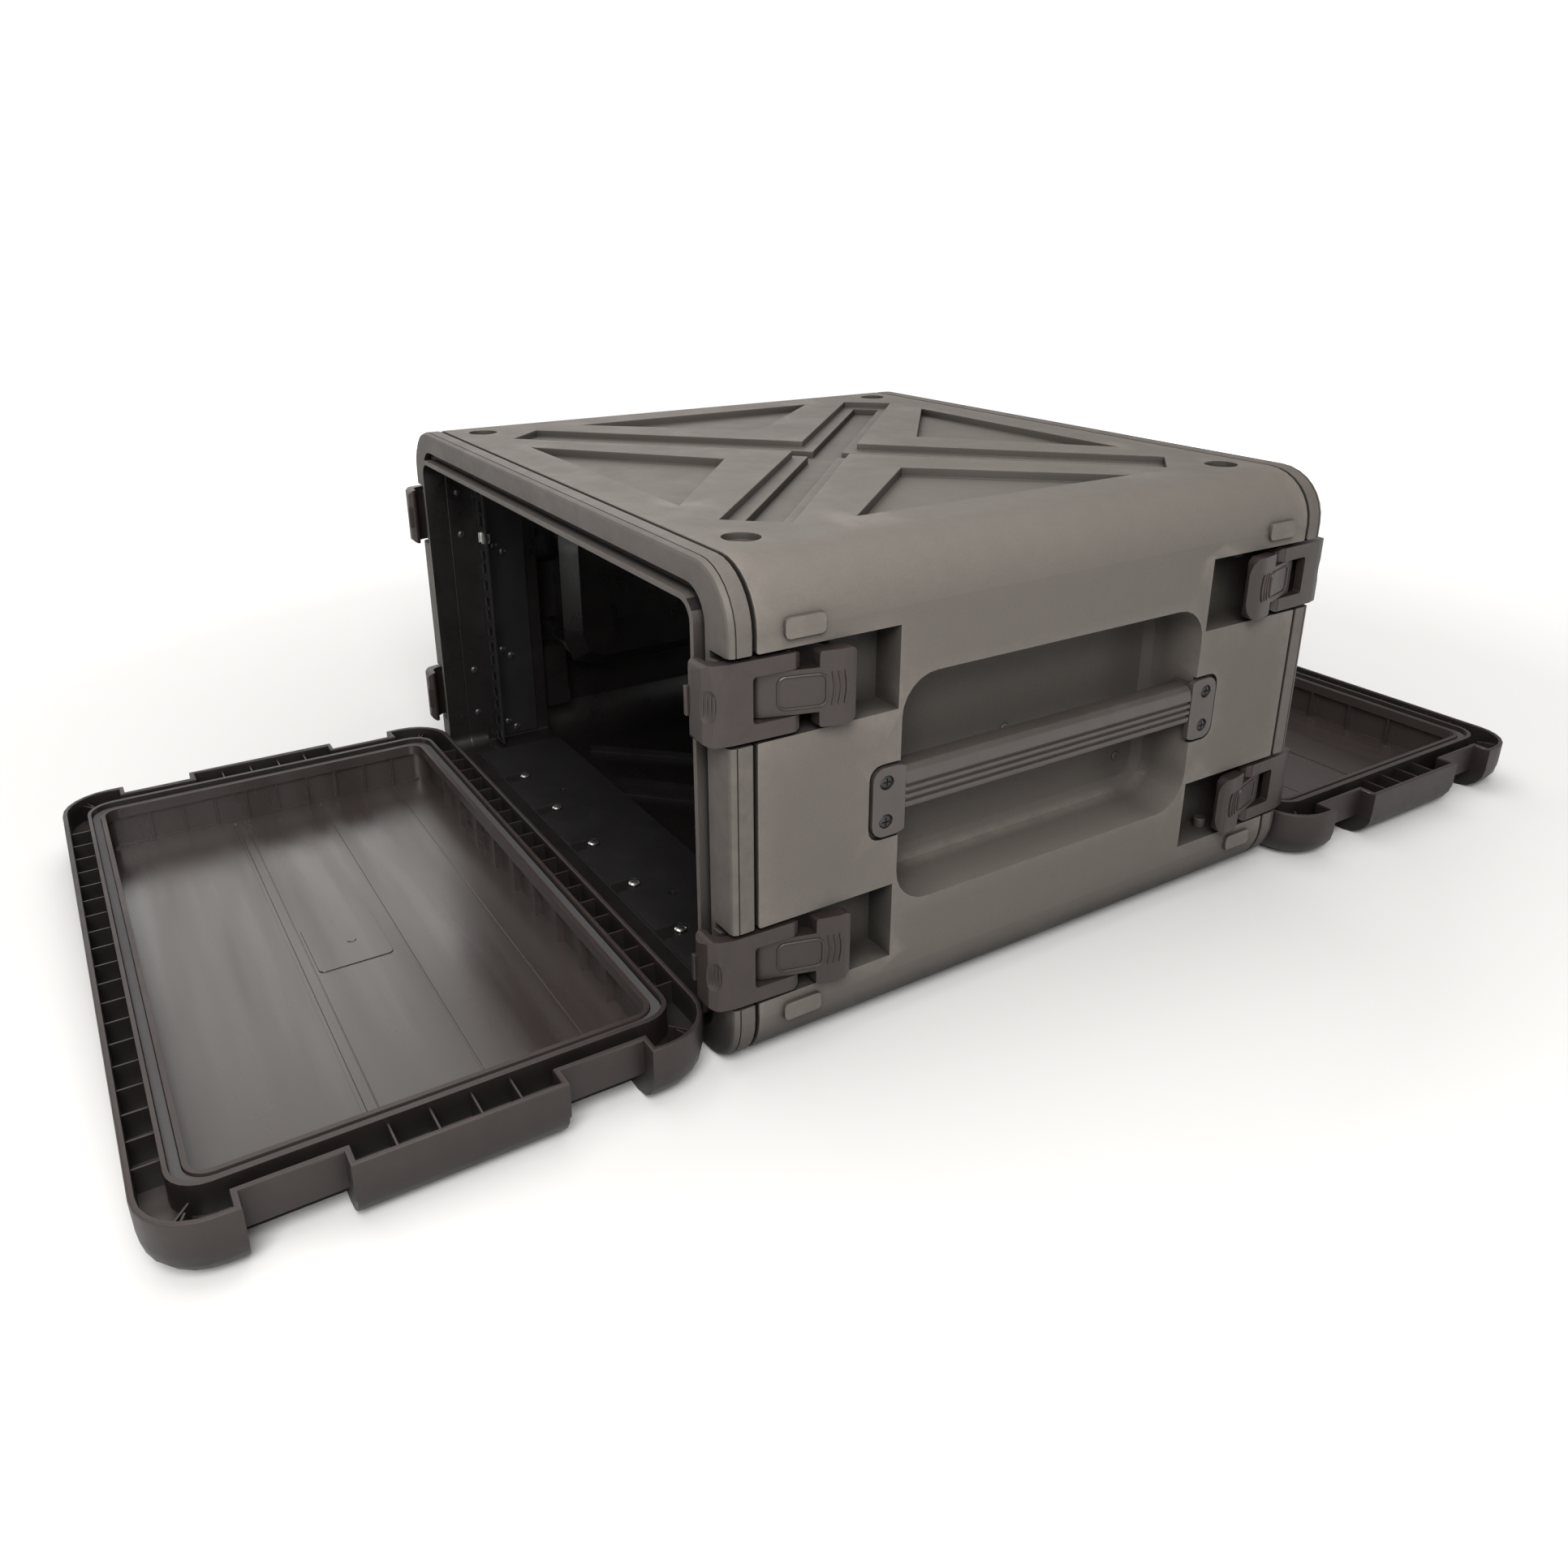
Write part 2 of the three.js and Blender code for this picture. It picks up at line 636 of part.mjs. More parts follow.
function lidShell() {
  const plan = (x, y, radius) => roundedRect(0, -LID_MID, x, y, radius);
  const half = LID_LENGTH / 2;
  let lid = loft(LID_STEPS.map(([z, inset]) => outline(
    0,
    -LID_MID,
    LID_X - inset,
    half - inset,
    LID_RADIUS - inset * 0.8,
    (x, y) => new THREE.Vector3(x, y, z),
  )));
  const clearances = SIDES.flatMap(([, side]) => [1, -1].map((row) => {
    const [low, high] = NOTCH;
    return {
      gap: box(span(side, NOTCH_X, 310), span(row, low, high).map((v) => v - LID_MID), [-1, 60]),
      wall: box(
        span(side, NOTCH_X - LID_RIM_WALL, 310),
        span(row, low - LID_RIM_WALL, high + LID_RIM_WALL).map((v) => v - LID_MID),
        [-1, 60],
      ),
    };
  }));
  const undercuts = SIDES.flatMap(([, side]) => {
    const under = (inner, low, high, top) => box(span(side, inner, 310), [low - LID_MID, high - LID_MID], [-1, top]);
    const [low, high] = NOTCH;
    return [
      under(248, low - 1, high, LID_FLANGE),
      under(248, -high, 1 - low, LID_FLANGE),
      under(249, 28 - low, low - 28, LID_BLOCK_BASE),
    ];
  });
  const channel = cut(
    alongZ(plan(LID_X - LID_RIM_WALL, half - LID_RIM_WALL, LID_RADIUS - LID_RIM_WALL), CHANNEL_FLOOR, 60),
    alongZ(plan(SEAL_X[3], SEAL_Y[3], 20), 0, 61),
    ...clearances.map(({ wall }) => wall),
  );
  const groove = cut(
    alongZ(plan(SEAL_X[2], SEAL_Y[2], 17), GROOVE_FLOOR, 60),
    alongZ(plan(SEAL_X[1], SEAL_Y[1], 14), 0, 61),
  );
  const cavity = alongZ(plan(SEAL_X[0], SEAL_Y[0], 10), LID_FLOOR, 60);
  const setBack = alongZ(plan(SEAL_X[0] + SET_BACK[0], SEAL_Y[0] + SET_BACK[1], 12), LID_FLOOR, SET_BACK[2]);
  const innerTop = alongZ(plan(SEAL_X[1] + 1, SEAL_Y[1] + 1, 14), INNER_WALL_TOP, 60);
  lid = cut(lid, ...undercuts, channel, groove, cavity, setBack, innerTop, ...clearances.map(({ gap }) => gap));
  return toGeometry(lid);
}

function lidGasket() {
  const band = (x, y, radius) => roundedRect(0, -LID_MID, x, y, radius);
  return toGeometry(cut(
    alongZ(band(SEAL_X[2] - GAP, SEAL_Y[2] - GAP, 16.7), GROOVE_FLOOR + GAP, GASKET_TOP),
    alongZ(band(SEAL_X[1] + GAP, SEAL_Y[1] + GAP, 14.3), GROOVE_FLOOR - 1, 45),
  ));
}

const lidGeometry = lidShell();
const gasketGeometry = lidGasket();

for (const [endName, end] of ENDS) {
  const shift = end < 0 ? REAR_LID_SHIFT : 0;
  place(`${endName}_lid`, mirrored(lidGeometry, 1, end), finishes.lid).position.x = shift;
  place(`${endName}_lid_gasket`, mirrored(gasketGeometry, 1, end), finishes.gasket).position.x = shift;
}

export default rackCase;
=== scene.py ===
import json
import math

import bmesh
import bpy
from mathutils import Matrix, Vector
from mathutils.bvhtree import BVHTree

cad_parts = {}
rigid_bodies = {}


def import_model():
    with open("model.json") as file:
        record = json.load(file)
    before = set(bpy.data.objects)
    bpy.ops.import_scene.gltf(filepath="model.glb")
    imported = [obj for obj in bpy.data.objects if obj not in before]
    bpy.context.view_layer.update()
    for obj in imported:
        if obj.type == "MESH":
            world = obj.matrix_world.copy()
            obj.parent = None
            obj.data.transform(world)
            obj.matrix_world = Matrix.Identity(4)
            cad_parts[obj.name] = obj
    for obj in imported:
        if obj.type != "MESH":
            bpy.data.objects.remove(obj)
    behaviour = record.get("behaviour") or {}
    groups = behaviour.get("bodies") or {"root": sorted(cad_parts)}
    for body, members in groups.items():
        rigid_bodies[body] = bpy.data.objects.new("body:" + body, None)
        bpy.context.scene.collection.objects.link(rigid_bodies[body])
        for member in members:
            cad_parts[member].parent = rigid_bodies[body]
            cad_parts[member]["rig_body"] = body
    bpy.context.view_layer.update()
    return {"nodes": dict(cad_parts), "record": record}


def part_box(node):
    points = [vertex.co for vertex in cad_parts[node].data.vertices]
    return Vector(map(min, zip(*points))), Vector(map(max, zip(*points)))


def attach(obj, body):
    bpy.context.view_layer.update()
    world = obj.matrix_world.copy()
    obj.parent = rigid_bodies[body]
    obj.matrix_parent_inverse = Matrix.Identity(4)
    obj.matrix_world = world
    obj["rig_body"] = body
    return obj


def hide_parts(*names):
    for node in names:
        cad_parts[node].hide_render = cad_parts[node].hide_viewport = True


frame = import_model()

MM = 0.001
SIDES = [("right", 1), ("left", -1)]
ENDS = [("front", 1), ("rear", -1)]
LEVELS = [("upper", 1), ("lower", -1)]


def span_of(name, axis):
    """Low and high end of a CAD piece along x, y or z, to the nearest hundredth of a millimetre."""
    return tuple(round(corner["xyz".index(axis)] / MM, 2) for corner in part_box(name))


def middle_of(name, axis):
    return sum(span_of(name, axis)) / 2


# Main sizes, in millimetres.
SIDE_X = span_of("front_frame", "x")[1]
MID_Z = middle_of("front_frame", "z")
LATCH_OFFSET = middle_of("lever_front_right_upper", "z") - MID_Z
LID_MID = abs(middle_of("front_lid", "y"))
BAY_X = 246.0  # half width of the sleeve's opening
BAY_Z = 136.5  # half height of the sleeve's opening
BAY_FLOOR = MID_Z - BAY_Z
ARC_STEPS = 8  # steps in a quarter turn of an outline
CIRCLE_STEPS = 24


# ---- Materials ----
def node(tree, kind, **settings):
    made = tree.nodes.new(kind)
    for key, value in settings.items():
        setattr(made, key, value)
    return made


def noise(tree, coords, scale, detail=3.0, roughness=0.55, distortion=0.0):
    made = node(tree, "ShaderNodeTexNoise")
    made.inputs["Scale"].default_value = scale
    made.inputs["Detail"].default_value = detail
    made.inputs["Roughness"].default_value = roughness
    made.inputs["Distortion"].default_value = distortion
    tree.links.new(coords, made.inputs["Vector"])
    return made.outputs["Fac"]


def ranged(tree, value, low, high, to_low, to_high):
    """Maps a value from low..high to to_low..to_high, held at both ends."""
    made = node(tree, "ShaderNodeMapRange", clamp=True)
    for key, number in (("From Min", low), ("From Max", high), ("To Min", to_low), ("To Max", to_high)):
        made.inputs[key].default_value = number
    tree.links.new(value, made.inputs["Value"])
    return made.outputs["Result"]


def mixed(tree, factor, first, second):
    """Mixes two colours, each a socket or a plain colour."""
    made = node(tree, "ShaderNodeMix", data_type="RGBA")
    factor_in, first_in, second_in = (made.inputs[i] for i in (0, 6, 7))
    colour_out = made.outputs[2]
    tree.links.new(factor, factor_in)
    for socket, value in ((first_in, first), (second_in, second)):
        if isinstance(value, bpy.types.NodeSocket):
            tree.links.new(value, socket)
        else:
            socket.default_value = (*value, 1.0)
    return colour_out


def shade(colour, factor):
    return tuple(channel * factor for channel in colour)


GRAIN_DEPTH = 0.00025  # metres
PAINTED_SHADE_REACH = 0.055  # how far off another face still darkens the colour with painted shade, in metres


def surface(name, colour, rough, grain=1100.0, bump=0.25, edge_wear_and_highlight=0.35, metal=0.0,
            spread=0.10, streaks=0.0, specular=0.5, painted_crease_shade=0.0):
    """Moulded plastic or metal: tone drift, fine grain, lighter rubbed edges that are partly painted
    highlight, painted shade in creases and uneven gloss.
    """
    material = bpy.data.materials.new(name)
    material.use_nodes = True
    tree = material.node_tree
    shader = tree.nodes["Principled BSDF"]
    shader.inputs["Metallic"].default_value = metal
    shader.inputs["Specular IOR Level"].default_value = specular
    coords = node(tree, "ShaderNodeTexCoord").outputs["Object"]
    drift = noise(tree, coords, 9.0, 4.0, 0.6)
    fine = noise(tree, coords, grain, 2.0, 0.6)
    drift = ranged(tree, drift, 0.3, 0.7, 0.0, 1.0)
    tone = mixed(tree, drift, shade(colour, 1 - spread), shade(colour, 1 + spread))
    tone = mixed(tree, ranged(tree, fine, 0.35, 0.65, 0.0, 0.22), tone, shade(colour, 1.5))
    # Lighter edges from pointiness: partly rubbed wear and partly painted highlight where light catches the
    # rounded edges.
    if edge_wear_and_highlight:
        edge = node(tree, "ShaderNodeNewGeometry").outputs["Pointiness"]
        rub = noise(tree, coords, 75.0, 5.0, 0.7)
        edge_wear_highlight_mask = node(tree, "ShaderNodeMath", operation="MULTIPLY")
        tree.links.new(ranged(tree, edge, 0.505, 0.56, 0.0, edge_wear_and_highlight), edge_wear_highlight_mask.inputs[0])
        tree.links.new(ranged(tree, rub, 0.35, 0.6, 0.35, 1.0), edge_wear_highlight_mask.inputs[1])
        tone = mixed(tree, edge_wear_highlight_mask.outputs[0], tone, shade(colour, 2.1))
    # Painted shade: the ambient occlusion node darkens the colour in corners, creases and recesses.
    if painted_crease_shade:
        hollow = node(tree, "ShaderNodeAmbientOcclusion", samples=6)
        hollow.inputs["Distance"].default_value = PAINTED_SHADE_REACH
        painted_shade_mask = ranged(tree, hollow.outputs["AO"], 0.25, 0.95, painted_crease_shade, 0.0)
        tone = mixed(tree, painted_shade_mask, tone, shade(colour, 0.1))
    tree.links.new(tone, shader.inputs["Base Color"])
    patch = noise(tree, coords, 26.0, 5.0, 0.65, 0.4)
    if streaks:
        stretch = node(tree, "ShaderNodeMapping")
        stretch.inputs["Scale"].default_value = (0.6, 7.0, 1.0)
        tree.links.new(coords, stretch.inputs["Vector"])
        patch = noise(tree, stretch.outputs[0], 5.0, 2.5, 0.5, 0.15)
    gloss = ranged(tree, patch, 0.3, 0.7, rough - 0.07, rough + 0.08 + streaks)
    tree.links.new(gloss, shader.inputs["Roughness"])
    relief = node(tree, "ShaderNodeBump")
    relief.inputs["Strength"].default_value = bump
    relief.inputs["Distance"].default_value = GRAIN_DEPTH
    tree.links.new(fine, relief.inputs["Height"])
    tree.links.new(relief.outputs["Normal"], shader.inputs["Normal"])
    return material


MATERIALS = {
    "shell_plastic": surface(
        "moulded_shell", (0.0680, 0.0605, 0.0540), 0.60,
        bump=0.45, spread=0.02, specular=0.16, painted_crease_shade=0.95,
    ),
    "frame_plastic": surface(
        "moulded_frame", (0.047, 0.0413, 0.0371), 0.56,
        bump=0.40, spread=0.02, specular=0.22, painted_crease_shade=0.9,
    ),
    # Near-black finish for the faces inside the case and the sleeves: painted shade for the dark inside of
    # the case.
    "sleeve": surface(
        "sleeve_painted_shade", (0.0050, 0.0042, 0.0042), 0.30,
        bump=0.2, edge_wear_and_highlight=0.0, specular=0.5,
    ),
    # The latch's lighter rims are partly rubbed wear and partly painted highlight.
    "latch_plastic": surface(
        "satin_latch", (0.0135, 0.0095, 0.0085), 0.42,
        grain=1600.0, bump=0.2, spread=0.05, edge_wear_and_highlight=0.5, specular=0.4, painted_crease_shade=0.6,
    ),
    "lid_plastic": surface(
        "lid_moulding", (0.0130, 0.0088, 0.0080), 0.48,
        grain=1500.0, bump=0.2, spread=0.06, specular=0.4, painted_crease_shade=0.9,
    ),
    "lid_cavity": surface(
        "lid_inside", (0.0170, 0.0125, 0.0115), 0.27,
        grain=1500.0, bump=0.10, edge_wear_and_highlight=0.0, streaks=0.045, specular=0.8,
    ),
    "handle_plastic": surface(
        "satin_handle", (0.028, 0.0235, 0.021), 0.42,
        grain=1600.0, bump=0.2, spread=0.05, painted_crease_shade=0.6,
    ),
    "rail_steel": surface(
        "black_powder_coat", (0.006, 0.0055, 0.006), 0.40,
        grain=1900.0, bump=0.30, edge_wear_and_highlight=0.2, specular=0.35,
    ),
    "gasket_rubber": surface(
        "grey_rubber", (0.022, 0.020, 0.021), 0.75,
        grain=900.0, bump=0.3, edge_wear_and_highlight=0.1,
    ),
    "bright_steel": surface(
        "zinc_plate", (0.60, 0.60, 0.58), 0.28,
        grain=700.0, bump=0.08, metal=1.0, edge_wear_and_highlight=0.2,
    ),
    "black_steel": surface(
        "black_oxide", (0.022, 0.021, 0.022), 0.34,
        grain=900.0, bump=0.10, metal=0.6,
    ),
}


# ---- Meshes ----
SMOOTH_ANGLE = math.radians(35)
FLAT_ANGLE = math.radians(0.6)
MERGE_DISTANCE = 1e-6  # metres


def add(name, mesh, slot, body):
    """A new piece with its finish, riding on a body."""
    mesh.materials.clear()
    mesh.materials.append(MATERIALS[slot])
    mesh.shade_smooth()
    mesh.set_sharp_from_angle(angle=SMOOTH_ANGLE)
    piece = bpy.data.objects.new(name, mesh)
    bpy.context.scene.collection.objects.link(piece)
    normals = piece.modifiers.new("normals", "WEIGHTED_NORMAL")
    normals.keep_sharp = True
    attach(piece, body)
    return piece


def to_mesh(bm, name):
    bmesh.ops.recalc_face_normals(bm, faces=bm.faces)
    mesh = bpy.data.meshes.new(name)
    bm.to_mesh(mesh)
    bm.free()
    return mesh


def cleaned(bm):
    """Joins points in the same place and merges faces in the same plane."""
    bmesh.ops.remove_doubles(bm, verts=bm.verts, dist=MERGE_DISTANCE)
    bmesh.ops.dissolve_limit(bm, angle_limit=FLAT_ANGLE, verts=bm.verts, edges=bm.edges)
    return bm


def cad_copy(name):
    """A clean polygon copy of a CAD node, with its flat faces merged."""
    bm = bmesh.new()
    source = frame["nodes"][name].data
    verts = [bm.verts.new(v.co) for v in source.vertices]
    for polygon in source.polygons:
        corners = [verts[i] for i in polygon.vertices]
        if bm.faces.get(corners) is None:
            bm.faces.new(corners)
    return cleaned(bm)


def edge_place(edge):
    """Middle of an edge in millimetres, and its direction without sign."""
    a, b = (v.co for v in edge.verts)
    along = (b - a).normalized()
    return (a + b) / 2 / MM, Vector((abs(along.x), abs(along.y), abs(along.z)))


def round_edges(bm, width, test=None, angle=28.0, segments=3):
    """Rounds the edges sharper than angle that test(middle, direction) accepts, width in millimetres."""
    limit = math.radians(angle)
    chosen = [e for e in bm.edges if e.is_manifold and e.calc_face_angle(0.0) > limit]
    if test:
        chosen = [e for e in chosen if test(*edge_place(e))]
    if chosen:
        bmesh.ops.bevel(
            bm,
            geom=chosen,
            offset=width * MM,
            offset_type="OFFSET",
            segments=segments,
            profile=0.5,
            affect="EDGES",
            clamp_overlap=True,
        )


slot_of = {row["node"]: row["material_slot"] for row in frame["record"]["subparts"]}


def replace_node(name, mesh):
    """Stands a new mesh in for a CAD node, with its slot and body."""
    piece = add(name + "_detail", mesh, slot_of[name], frame["nodes"][name]["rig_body"])
    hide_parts(name)
    return piece


def divided(bm, **planes):
    """Divides the faces along planes across x, y or z, so that large faces shade evenly."""
    for axis, places in planes.items():
        normal = [float(axis == letter) for letter in "xyz"]
        for place in places:
            bmesh.ops.bisect_plane(
                bm,
                geom=bm.verts[:] + bm.edges[:] + bm.faces[:],
                dist=1e-7,
                plane_co=[place * MM * component for component in normal],
                plane_no=normal,
            )
    return bm


def refine(name, rules=((0.6, None),), segments=2, change=None, planes=None):
    """Stands a rounded copy in for a CAD node, changed by a function first."""
    bm = cad_copy(name)
    if change:
        bm = change(bm)
    for width, test in rules:
        round_edges(bm, width, test, segments=segments)
    if planes:
        divided(bm, **planes)
    return replace_node(name, to_mesh(bm, name + "_detail"))


def paint(piece, slot, inside):
    """Gives the faces that inside(middle, normal) accepts another finish."""
    piece.data.materials.append(MATERIALS[slot])
    for polygon in piece.data.polygons:
        if inside(polygon.center / MM, polygon.normal):
            polygon.material_index = 1


# ---- Outlines, in millimetres ----
def rounded(cu, cv, a, b, radius):
    """Outline of a rounded rectangle centred on (cu, cv) with half sizes a and b."""
    points = []
    for quarter, (su, sv) in enumerate(((1, -1), (1, 1), (-1, 1), (-1, -1))):
        for i in range(ARC_STEPS + 1):
            angle = math.radians(-90 + 90 * quarter + 90 * i / ARC_STEPS)
            points.append((
                cu + su * (a - radius) + radius * math.cos(angle),
                cv + sv * (b - radius) + radius * math.sin(angle),
            ))
    return points


def circle(cu, cv, radius):
    turns = (2 * math.pi * i / CIRCLE_STEPS for i in range(CIRCLE_STEPS))
    return [(cu + radius * math.cos(turn), cv + radius * math.sin(turn)) for turn in turns]


AXES = {
    "x": lambda u, v, w: Vector((w, u, v)) * MM,
    "y": lambda u, v, w: Vector((u, w, v)) * MM,
    "z": lambda u, v, w: Vector((u, v, w)) * MM,
}


def prism(points, low, high, axis="z", bm=None):
    """A prism over an outline drawn across the axis; it joins bm when that is given."""
    bm = bm or bmesh.new()
    rings = [[bm.verts.new(AXES[axis](u, v, w)) for u, v in points] for w in (low, high)]
    made = [bm.faces.new(rings[0]), bm.faces.new(rings[1])]
    count = len(points)
    for i in range(count):
        j = (i + 1) % count
        made.append(bm.faces.new((rings[0][i], rings[0][j], rings[1][j], rings[1][i])))
    bmesh.ops.recalc_face_normals(bm, faces=made)
    return bm


def block(x, y, z, bm=None):
    """A box between the low and high ends given for x, y and z."""
    return prism([(x[0], y[0]), (x[1], y[0]), (x[1], y[1]), (x[0], y[1])], z[0], z[1], "z", bm)


def band(outer, inner, low, high):
    """A closed ring across y between two outlines with as many points."""
    bm = bmesh.new()
    loops = [
        [bm.verts.new(AXES["y"](u, v, w)) for u, v in points]
        for points, w in ((outer, low), (outer, high), (inner, high), (inner, low))
    ]
    made = []
    count = len(outer)
    for a, b in zip(loops, loops[1:] + loops[:1]):
        for i in range(count):
            j = (i + 1) % count
            made.append(bm.faces.new((a[i], a[j], b[j], b[i])))
    bmesh.ops.recalc_face_normals(bm, faces=made)
    return bm


def ring_of(bm, centre, across, over, radius, sides):
    """Points of a circle round centre in the plane of two unit vectors, counted in sides."""
    turns = (2 * math.pi * k / sides for k in range(sides))
    return [
        bm.verts.new((centre + (across * math.cos(turn) + over * math.sin(turn)) * radius) * MM)
        for turn in turns
    ]


def skinned(bm, rings, closed=False):
    """Faces between the rings, with a cap at both ends unless closed."""
    made = [] if closed else [bm.faces.new(rings[0]), bm.faces.new(rings[-1])]
    for a, b in zip(rings, rings[1:] + rings[:1] if closed else rings[1:]):
        for k in range(len(a)):
            n = (k + 1) % len(a)
            made.append(bm.faces.new((a[k], a[n], b[n], b[k])))
    bmesh.ops.recalc_face_normals(bm, faces=made)
    return bm


BEAD_SIDES = 8
BEAD_TAPER = 0.55  # an open bead's ends are thinner by this factor


def bead(path, radius, bm, closed=False):
    """A thin raised bead along a path of points in millimetres, open or closed on itself."""
    points = [Vector(p) for p in path]
    count = len(points)
    rings = []
    for i, point in enumerate(points):
        after = points[(i + 1) % count] if closed else points[min(i + 1, count - 1)]
        before = points[i - 1] if closed else points[max(i - 1, 0)]
        along = (after - before).normalized()
        if rings:
            across = (across - along * across.dot(along)).normalized()
        else:
            across = along.orthogonal().normalized()
        over = along.cross(across)
        taper = BEAD_TAPER if i in (0, count - 1) and not closed else 1.0
        rings.append(ring_of(bm, point, across, over, radius * taper, BEAD_SIDES))
    return skinned(bm, rings, closed)


def lathe(profile, centre, axis, bm=None, sides=CIRCLE_STEPS):
    """A turned piece: profile is (height, radius) along the axis vector from centre."""
    bm = bm or bmesh.new()
    axis = Vector(axis).normalized()
    across = axis.orthogonal().normalized()
    over = axis.cross(across)
    base = Vector(centre)
    rings = [
        ring_of(bm, base + axis * height, across, over, radius, sides) for height, radius in profile
    ]
    return skinned(bm, rings)


def combined(base, tool, operation="DIFFERENCE"):
    """Boolean of two closed bmeshes; both are used up."""
    objects = []
    for bm in (base, tool):
        holder = bpy.data.objects.new("holder", to_mesh(bm, "holder"))
        bpy.context.scene.collection.objects.link(holder)
        objects.append(holder)
    cutter = objects[0].modifiers.new("cut", "BOOLEAN")
    cutter.object = objects[1]
    cutter.operation = operation
    cutter.solver = "EXACT"
    graph = bpy.context.evaluated_depsgraph_get()
    result = bmesh.new()
    result.from_mesh(objects[0].evaluated_get(graph).data)
    for holder in objects:
        data = holder.data
        bpy.data.objects.remove(holder)
        bpy.data.meshes.remove(data)
    return cleaned(result)


def mirrored(mesh, name, sx, sy, lift=0.0):
    """A copy mirrored in x and y, then raised by lift millimetres."""
    copy = mesh.copy()
    copy.name = name
    copy.transform(Matrix.Translation((0, 0, lift * MM)) @ Matrix.Diagonal((sx, sy, 1, 1)))
    if sx * sy < 0:
        copy.flip_normals()
    return copy


# ---- Body shell ----
PRESSED_HALF = (236, 215)  # the crossed panels keep within these, in x and y
PRESSED_DEPTH = 9
SEAM_Y = (235, 239.5)  # the seam between shell and frame lies between these
SHELL_PLANES = {
    "x": [30.5 * i for i in range(-8, 9)],
    "y": [24.5 * i for i in range(-9, 10)],
    "z": [38.3] + [50.3 + 25.0 * i for i in range(10)] + [286.7],
}


def on_pressings(middle, along):
    """Edges of the crossed panels in the top and the underside."""
    within = abs(middle.x) < PRESSED_HALF[0] and abs(middle.y) < PRESSED_HALF[1]
    return within and abs(middle.z - MID_Z) > MID_Z - PRESSED_DEPTH


def on_seam(middle, along):
    """Outer edges of a shell or frame along the seam between them."""
    outside = abs(middle.x) > SIDE_X - 20 or abs(middle.z - MID_Z) > MID_Z - 17.5
    return SEAM_Y[0] < abs(middle.y) < SEAM_Y[1] and along.y < 0.3 and outside


shell = refine("body_shell", (
    (1.4, on_seam),
    (2.2, on_pressings),
    (0.8, lambda middle, along: not on_pressings(middle, along) and not on_seam(middle, along)),
), planes=SHELL_PLANES)
shell_skin = BVHTree.FromPolygons(
    [tuple(v.co) for v in shell.data.vertices],
    [tuple(p.vertices) for p in shell.data.polygons],
)
INSIDE_POINTS = [(x, z) for x in (-150, 0, 150) for z in (-80, 0, 80)]  # about the case's middle


def seen_from_inside(middle, normal):
    """True for the faces that some point well inside the case sees."""
    start = (middle + normal * 0.4) * MM
    for x, z in INSIDE_POINTS:
        way = Vector((x, middle.y, MID_Z + z)) * MM - start
        if way.dot(normal) > 0 and shell_skin.ray_cast(start, way.normalized(), way.length)[0] is None:
            return True
    return False


# The faces seen from inside the case get the near-black sleeve finish as painted shade.
paint(shell, "sleeve", seen_from_inside)


# ---- End frames ----
LINE_DEPTH = 0.9
PARTING_LINE = (248.8, 249.6)
STEP_LINE = (238.6, 239.6)
OUTER_RADIUS = 38.0
SLEEVE_RADIUS = 12.0
SLEEVE_MOUTH = 257.5  # the sleeve's walls end here, just inside the flange's face


def frame_grooves(end):
    """Cuts the parting line round the flange and the step line in the sleeve."""
    def change(bm):
        around = band(
            rounded(0, MID_Z, SIDE_X + 3, MID_Z + 3, OUTER_RADIUS + 3),
            rounded(0, MID_Z, SIDE_X - LINE_DEPTH, MID_Z - LINE_DEPTH, OUTER_RADIUS - LINE_DEPTH),
            *sorted(-end * y for y in PARTING_LINE),
        )
        inner = band(
            rounded(0, MID_Z, BAY_X + 0.8, BAY_Z + 0.8, SLEEVE_RADIUS + 0.8),
            rounded(0, MID_Z, BAY_X - 2, BAY_Z - 2, SLEEVE_RADIUS - 2),
            *sorted(-end * y for y in STEP_LINE),
        )
        return combined(combined(bm, around), inner)
    return change


def in_sleeve(middle, normal):
    inside = abs(middle.x) < BAY_X + 1 and abs(middle.z - MID_Z) < BAY_Z + 1
    return inside and abs(middle.y) < SLEEVE_MOUTH and abs(normal.y) < 0.8


for end_name, end in ENDS:
    rules = ((1.2, on_seam), (0.7, lambda middle, along: not on_seam(middle, along)))
    part = refine(end_name + "_frame", rules, change=frame_grooves(end))
    # The frames' sleeve walls get the near-black sleeve finish as painted shade.
    paint(part, "sleeve", in_sleeve)


# ---- Rails, pins and the cage nut ----
for name in sorted(frame["nodes"]):
    if name.startswith("rack_rail") or "_pin_" in name:
        refine(name, ((0.3, None),))
refine("cage_nut", ((0.25, None),))


# ---- Handles ----
SCREW_PROFILE = [(-12, 1.9), (-0.01, 1.9), (0, 4.8), (0.7, 4.8), (1.5, 4.2), (2.1, 2.6), (2.3, 1.0)]
BOSS_PROFILE = [(-0.5, 3.6), (0.6, 3.6), (1.2, 2.8), (1.2, 1.4), (0.6, 1.2)]


def cross_screw():
    """Domed head with a cross recess, its underside at the origin and its axis along X."""
    head = lathe(SCREW_PROFILE, (0, 0, 0), (1, 0, 0))
    for a, b in ((2.6, 0.55), (0.55, 2.6)):
        head = combined(head, block((0.9, 3.5), (-a, a), (-b, b)))
    return head


PLATE_Z = middle_of("handle_bracket_right_front", "z")
PLATE_GAP = 0.9
PLATE_Y = (133, 150)  # the plate's long edges start beyond the first, its end lies beyond the second
PLATE_EDGE = 12  # its long edges lie farther than this from its middle
SCREW_HEIGHT = SCREW_PROFILE[-1][0]


